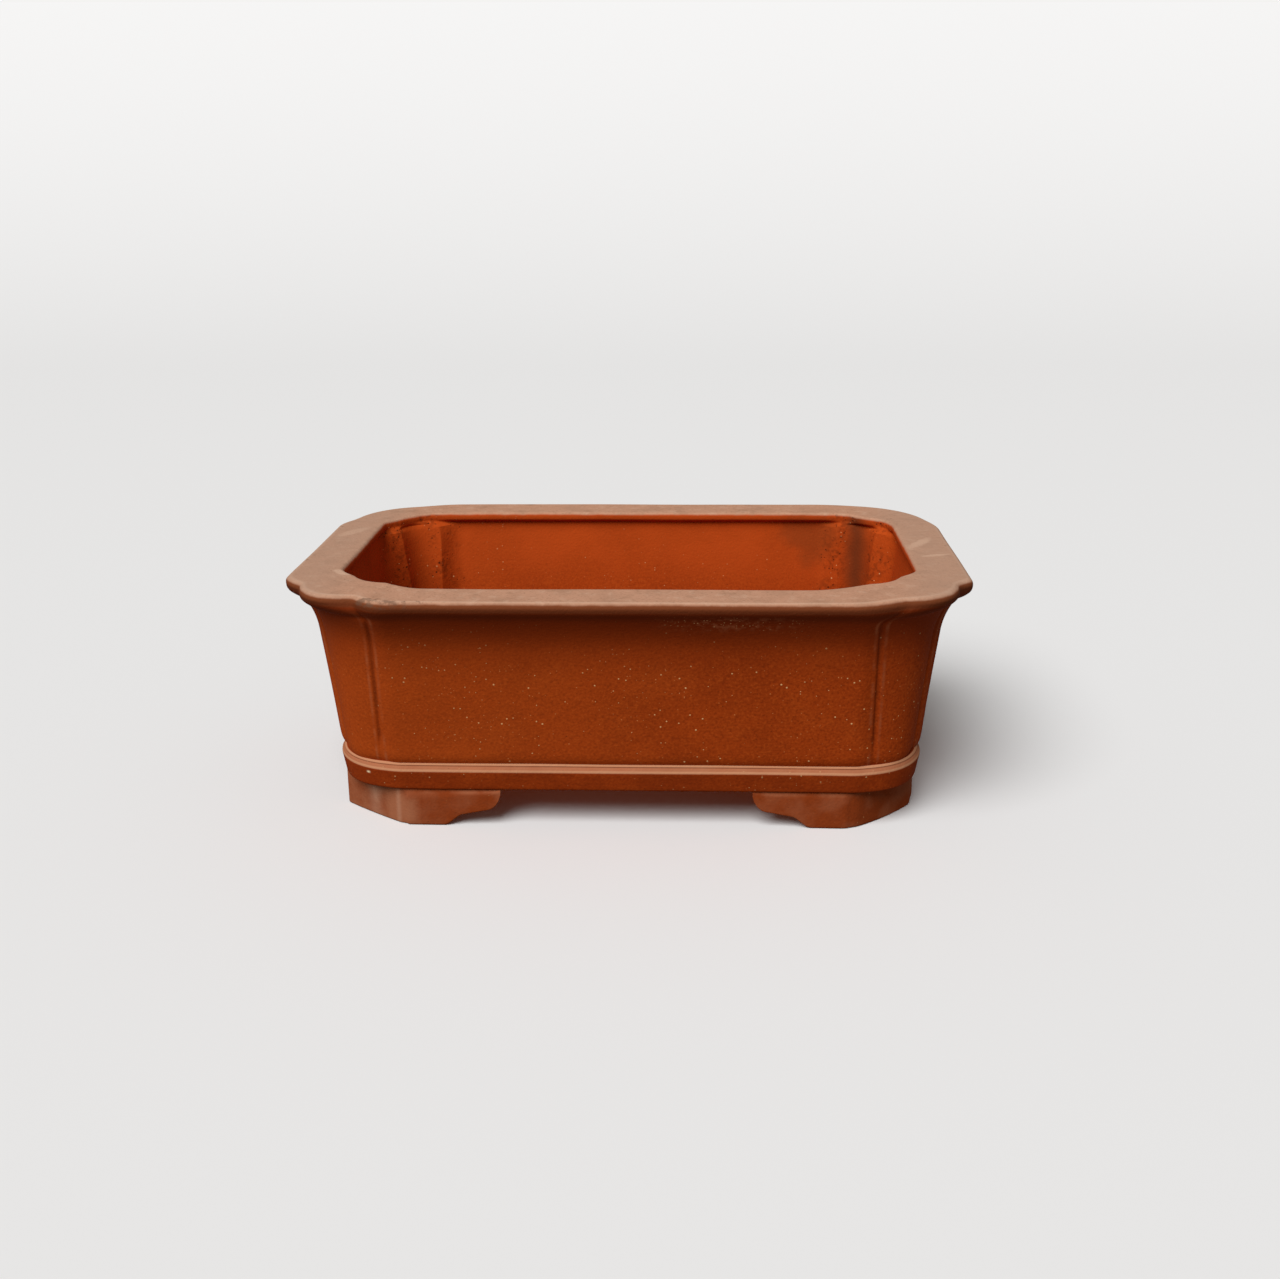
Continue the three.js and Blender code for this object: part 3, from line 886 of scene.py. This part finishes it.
drain_edges = [
    e for e in slab.edges
    if all(beside_drain(v) for v in e.verts) and abs(e.verts[0].co.z - e.verts[1].co.z) < MM
]
bmesh.ops.bevel(
    slab, geom=drain_edges, offset=DRAIN_EDGE, offset_type="OFFSET", segments=3,
    profile=0.5, affect="EDGES", material=-1,
)
for v in slab.verts:
    v.co = by_hand(v.co)
bmesh.ops.recalc_face_normals(slab, faces=slab.faces)
for face in slab.faces:
    face.smooth = True
for e in slab.edges:
    e.smooth = e.calc_face_angle(0) < SHARP_ANGLE
piece("floor_slab", slab, FLOOR_CLAY)

# %% [markdown]
# ## Wall panels and corner staves
# A panel leans outwards and flares into a cove under the rim. It is one clay sheet, so its section has an
# outer and an inner curve with the sheet's thickness between them. The outer foot is rounded off where
# it meets the band, and inside a fillet of soft clay is smoothed into the corner with the floor.

# %% Wall curves
WALL_FOOT_HALF = 87.8 * MM
WALL_THICKNESS = 7 * MM
COVE_START = 56 * MM
COVE_END = 69.0 * MM
COVE_FLARE = 5.1 * MM
COVE_POWER = 2.2
FOOT_ROUNDING = 0.8 * MM
FOOT_ROUNDING_HEIGHT = 1.1 * MM
FILLET = 2.2 * MM
FILLET_HEIGHT = 1.8 * MM


def wall_outer(z):
    rise = clamp((z - COVE_START) / (COVE_END - COVE_START), 0, 1)
    rounding = FOOT_ROUNDING * math.exp((FLOOR_TOP - z) / FOOT_ROUNDING_HEIGHT)
    return WALL_FOOT_HALF + WALL_LEAN * (z - FLOOR_TOP) + COVE_FLARE * rise ** COVE_POWER - rounding


def wall_inner(z):
    fillet = FILLET * math.exp((FLOOR_TOP - z) / FILLET_HEIGHT)
    return WALL_FOOT_HALF - WALL_THICKNESS + WALL_LEAN * (z - FLOOR_TOP) - fillet


# %% Creases of the wall and rim
CREASE_BLEND = (64.5 * MM, 71.5 * MM)
INNER_CREASE_BLEND = (69 * MM, 70.8 * MM)
RIM_WIDTH = 15.2 * MM
LIP_FOOT = 70.3 * MM


def shell_crease(run, half, z):
    """The crease between the sides and the staves, from the wall's to the rim's through the cove."""
    quarter = quarter_place(run)[0]
    rise = smoothstep(*CREASE_BLEND, z)
    outer_half = lerp(wall_outer(z), HALF_LENGTH, rise)
    inner_half = lerp(wall_inner(z), HALF_LENGTH - RIM_WIDTH, rise)
    inward = clamp((outer_half - half) / (outer_half - inner_half), 0, 1)
    outer = between(WALL_CREASE, RIM_CREASES[quarter], rise)
    inner = between(WALL_INNER_CREASE, RIM_INNER_CREASES[quarter], smoothstep(*INNER_CREASE_BLEND, z))
    return between(outer, inner, inward)


# %% The tool's groove
GROOVE_DEPTH = 0.42 * MM
GROOVE_REACH = 0.55 * MM
GROOVE_SKIN = 1.5 * MM
GROOVE_START = (FLOOR_TOP + 2 * MM, FLOOR_TOP + 9 * MM)
GROOVE_END = (66.5 * MM, LIP_FOOT)


def grooved(run, half, z):
    """Presses the tool's narrow groove into the outer face, along each crease."""
    share = crease_distance(run) / GROOVE_REACH
    outside = smoothstep(wall_outer(z) - GROOVE_SKIN, wall_outer(z), half)
    fade = smoothstep(*GROOVE_START, z) * (1 - smoothstep(*GROOVE_END, z))
    return half - GROOVE_DEPTH * math.exp(-share * share) * outside * fade, z


print("wall, mm:", [round(wall_outer(z) / MM, 1) for z in (FLOOR_TOP, COVE_START, RIM_FOOT)])

# %% A curved edge in a section
def curve_edge(mesh, start, end, across_at, spacing=SPACING):
    """Divides the edge between two corners of a section and lays it along a curve."""
    e = mesh.edges.get((corner_at(mesh, *start), corner_at(mesh, *end)))
    cuts = int(e.calc_length() / spacing)
    for item in bmesh.ops.subdivide_edges(mesh, edges=[e], cuts=cuts)["geom_inner"]:
        if isinstance(item, bmesh.types.BMVert):
            item.co.x = across_at(item.co.z)


# %% Panels and staves
def wall_section():
    outer_foot, outer_top = ((wall_outer(z), z) for z in (FLOOR_TOP, RIM_FOOT))
    inner_foot, inner_top = ((wall_inner(z), z) for z in (FLOOR_TOP, RIM_FOOT))
    mesh = outline([outer_foot, outer_top, inner_top, inner_foot])
    curve_edge(mesh, outer_foot, outer_top, wall_outer, 0.8 * MM)
    curve_edge(mesh, inner_foot, inner_top, wall_inner)
    cut_to_length(mesh, 2 * MM)
    return mesh


MIDDLES = {"back": 0, "right": QUARTER, "front": 2 * QUARTER, "left": 3 * QUARTER}
STAVE_MIDDLE = LONG_RUN + STAVE_RUN / 2
CORNERS = {
    "back_right": STAVE_MIDDLE,
    "front_right": 2 * QUARTER - STAVE_MIDDLE,
    "front_left": 2 * QUARTER + STAVE_MIDDLE,
    "back_left": 4 * QUARTER - STAVE_MIDDLE,
}

for side, middle in MIDDLES.items():
    reach = LONG_RUN if side in ("back", "front") else SHORT_RUN
    panel = sweep(wall_section(), stops(middle - reach, middle + reach), shell_crease, grooved)
    piece("wall_" + side, panel, WALL_CLAY)
for corner, middle in CORNERS.items():
    runs = stops(middle - STAVE_RUN / 2, middle + STAVE_RUN / 2)
    stave = sweep(wall_section(), runs, shell_crease, grooved)
    piece("corner_stave_" + corner, stave, WALL_CLAY)

# %% [markdown]
# ## Rim
# The rim is a broad strip that ends the cove, turns over in a round lip, lies flat for 15 mm and turns down
# over the inside of the wall. Its four strips meet in mitres in the middle of the corner staves. The round
# corners are bevels of the flat section. The lip sagged a little while the clay was soft, so it is
# thicker towards the ends and corners.

# %% Rim section
RIM_EDGE_DROP = 2.4 * MM
RIM_ROOT_DROP = 3.4 * MM
LIP_UNDER_RADIUS = 1.0 * MM
LIP_TOP_RADIUS = 1.6 * MM
INNER_TOP_RADIUS = 1.3 * MM
INNER_EDGE_RADIUS = 0.5 * MM


def rim_section():
    foot, cove_end = ((wall_outer(z), z) for z in (RIM_FOOT, COVE_END))
    inner_foot, inner_root = ((wall_inner(z), z) for z in (RIM_FOOT, RIM_TOP - RIM_ROOT_DROP))
    lip_foot, lip_top = (HALF_LENGTH, LIP_FOOT), (HALF_LENGTH, RIM_TOP)
    inner_top, inner_edge = ((HALF_LENGTH - RIM_WIDTH, z) for z in (RIM_TOP, RIM_TOP - RIM_EDGE_DROP))
    mesh = outline([foot, cove_end, lip_foot, lip_top, inner_top, inner_edge, inner_root, inner_foot])
    curve_edge(mesh, foot, cove_end, wall_outer, 0.6 * MM)
    round_corner(mesh, *lip_foot, LIP_UNDER_RADIUS, 5)
    round_corner(mesh, *lip_top, LIP_TOP_RADIUS, 7)
    round_corner(mesh, *inner_top, INNER_TOP_RADIUS, 5)
    round_corner(mesh, *inner_edge, INNER_EDGE_RADIUS, 3)
    cut_to_length(mesh, 0.8 * MM)
    return mesh


# %% Rim strips
LIP_DROOP = 1.2 * MM
DROOP_RUNS = (LONG_RUN - 15 * MM, LONG_RUN + 10 * MM)
DROOP_FOOT = (66 * MM, 69 * MM)
DROOP_HEAD = (LIP_FOOT, RIM_TOP - 1 * MM)
DROOP_HALF = (93 * MM, 96 * MM)


def drooped(run, half, z):
    """Grooves the cove, and makes the lip thicker towards the ends and corners, where it sags."""
    half, z = grooved(run, half, z)
    near_end = smoothstep(*DROOP_RUNS, quarter_place(run)[1])
    low = smoothstep(*DROOP_FOOT, z) * (1 - smoothstep(*DROOP_HEAD, z))
    outer = smoothstep(*DROOP_HALF, half)
    return half, z - LIP_DROOP * near_end * low * outer


MITRE = {
    "back": STAVE_MIDDLE,
    "right": QUARTER - STAVE_MIDDLE,
    "front": STAVE_MIDDLE,
    "left": QUARTER - STAVE_MIDDLE,
}

for side, middle in MIDDLES.items():
    runs = stops(middle - MITRE[side], middle + MITRE[side])
    strip = sweep(rim_section(), runs, shell_crease, drooped)
    piece("rim_" + side, strip, RIM_CLAY)

# %% [markdown]
# ## Base band
# A strip pressed in a mould wraps the edge of the floor. Its top edge is a narrow bead over a chamfer, with
# a fine line between the two, and its face tapers in to the feet.

# %% Band
BAND_TAPER = 1.2 * MM
CHAMFER_HEIGHT = 2.2 * MM
LEDGE = 1.25 * MM
BEAD_FOOT = (0.9 * MM, 0.6 * MM)
FINE_LINE = (1.0 * MM, 0.78 * MM)
CHAMFER_TOP = (0.75 * MM, 0.95 * MM)


def below_ledge(inward, down):
    """A corner of the band's section, so far in from its face and down from its top."""
    return BAND_FACE - inward, FLOOR_TOP - down


def band_section():
    ledge = (BAND_FACE - LEDGE, FLOOR_TOP)
    bead_foot, line, chamfer_top = (below_ledge(*place) for place in (BEAD_FOOT, FINE_LINE, CHAMFER_TOP))
    shoulder = (BAND_FACE, FLOOR_TOP - CHAMFER_HEIGHT)
    foot = (BAND_FACE - BAND_TAPER, FLOOR_BOTTOM)
    mesh = outline([
        (BAND_INNER, FLOOR_BOTTOM), (BAND_INNER, FLOOR_TOP), ledge, bead_foot, line,
        chamfer_top, shoulder, foot,
    ])
    round_corner(mesh, *ledge, 0.3 * MM, 3)
    round_corner(mesh, *shoulder, 0.45 * MM, 4)
    round_corner(mesh, *foot, 0.7 * MM, 4)
    cut_to_length(mesh, 0.7 * MM)
    return mesh


def band_crease(run, half, z):
    return BAND_CREASE


for side, middle in MIDDLES.items():
    strip = sweep(band_section(), stops(middle - MITRE[side], middle + MITRE[side]), band_crease)
    piece("band_" + side, strip, BAND_CLAY)

# %% [markdown]
# ## Feet
# Each foot is a thick corner piece with two arms. The underside of each arm rises to its end in steps: a
# short ogee, a nearly level ledge and a round nose. The section is led round the corner, and at each stop its
# lower edge is lifted by the height of the arch there. The face of the arms is raised a little above
# the corner, as the mould left it.

# %% The arch under an arm
FOOT_HALF = 86.4 * MM
FOOT_FLARE = 0.2 * MM
FOOT_THICKNESS = 12 * MM
FOOT_REACH_X = 37.2 * MM
FOOT_REACH_Y = 19.5 * MM
ARCH_SOLE = 17.3 * MM
ARCH_LEDGE = 11.3 * MM
ARCH_NOSE = 4.8 * MM
LEDGE_HEIGHT = 3.5 * MM
NOSE_HEIGHT = 4.8 * MM
NOSE_TIP = 0.25 * MM
SHORT_SCALE = 0.62


def arch_height(distance):
    """Height of the underside at a distance from the end of an arm."""
    if distance < ARCH_NOSE:
        back = 1 - distance / ARCH_NOSE
        return lerp(FLOOR_BOTTOM - NOSE_TIP, NOSE_HEIGHT, math.sqrt(max(0, 1 - back * back)))
    if distance < ARCH_LEDGE:
        return lerp(NOSE_HEIGHT, LEDGE_HEIGHT, (distance - ARCH_NOSE) / (ARCH_LEDGE - ARCH_NOSE))
    return LEDGE_HEIGHT * (1 - smoothstep(ARCH_LEDGE, ARCH_SOLE, distance))


# %% Feet
PANEL_RAISE = {
    "front_left": 0.5 * MM,
    "front_right": 0.2 * MM,
    "back_left": 0.3 * MM,
    "back_right": 0.3 * MM,
}
PANEL_SIDE = (2.2 * MM, 3.2 * MM)
PANEL_HEAD = (FLOOR_BOTTOM - 1.7 * MM, FLOOR_BOTTOM - 0.9 * MM)
PANEL_FACE = (FOOT_HALF - 1.5 * MM, FOOT_HALF - 0.5 * MM)
FOOT_SPACING = 0.8 * MM
LONG_ARM = LONG_RUN * FOOT_REACH_X / FOOT_CREASE.x
SHORT_ARM = QUARTER - SHORT_RUN * FOOT_REACH_Y / FOOT_CREASE.y


def foot_section():
    sole, head = (FOOT_HALF + FOOT_FLARE, 0), (FOOT_HALF, FLOOR_BOTTOM)
    inner_head, inner_sole = ((FOOT_HALF - FOOT_THICKNESS, z) for z in (FLOOR_BOTTOM, 0))
    mesh = outline([sole, head, inner_head, inner_sole])
    round_corner(mesh, *sole, 0.7 * MM)
    round_corner(mesh, *head, 0.5 * MM, 4)
    round_corner(mesh, *inner_sole, 0.5 * MM, 4)
    cut_to_length(mesh, 0.9 * MM)
    return mesh


def foot_crease(run, half, z):
    return FRONT_LEFT_FOOT_CREASE if quarter_place(run)[0] == 2 else FOOT_CREASE


def foot_shape(raised):
    def shape(run, half, z):
        rest = quarter_place(run)[1]
        if rest < STAVE_MIDDLE:
            distance = (rest - LONG_ARM) * FOOT_CREASE.x / LONG_RUN
        else:
            distance = (SHORT_ARM - rest) * FOOT_CREASE.y / SHORT_RUN / SHORT_SCALE
        foot = arch_height(max(distance, 0))
        on_arm = 1 if rest < LONG_RUN or rest > LONG_RUN + STAVE_RUN else 0
        panel = on_arm * smoothstep(*PANEL_SIDE, crease_distance(run))
        panel *= 1 - smoothstep(*PANEL_HEAD, z)
        panel *= smoothstep(*PANEL_FACE, half)
        return half + raised * panel, lerp(foot, FLOOR_BOTTOM, z / FLOOR_BOTTOM)
    return shape


for corner, middle in CORNERS.items():
    turned = -1 if corner in ("front_right", "back_left") else 1
    ends = (middle - turned * (STAVE_MIDDLE - LONG_ARM), middle + turned * (SHORT_ARM - STAVE_MIDDLE))
    runs = stops(min(ends), max(ends), FOOT_SPACING)
    foot = sweep(foot_section(), runs, foot_crease, foot_shape(PANEL_RAISE[corner]))
    piece("foot_" + corner, foot, FOOT_CLAY)
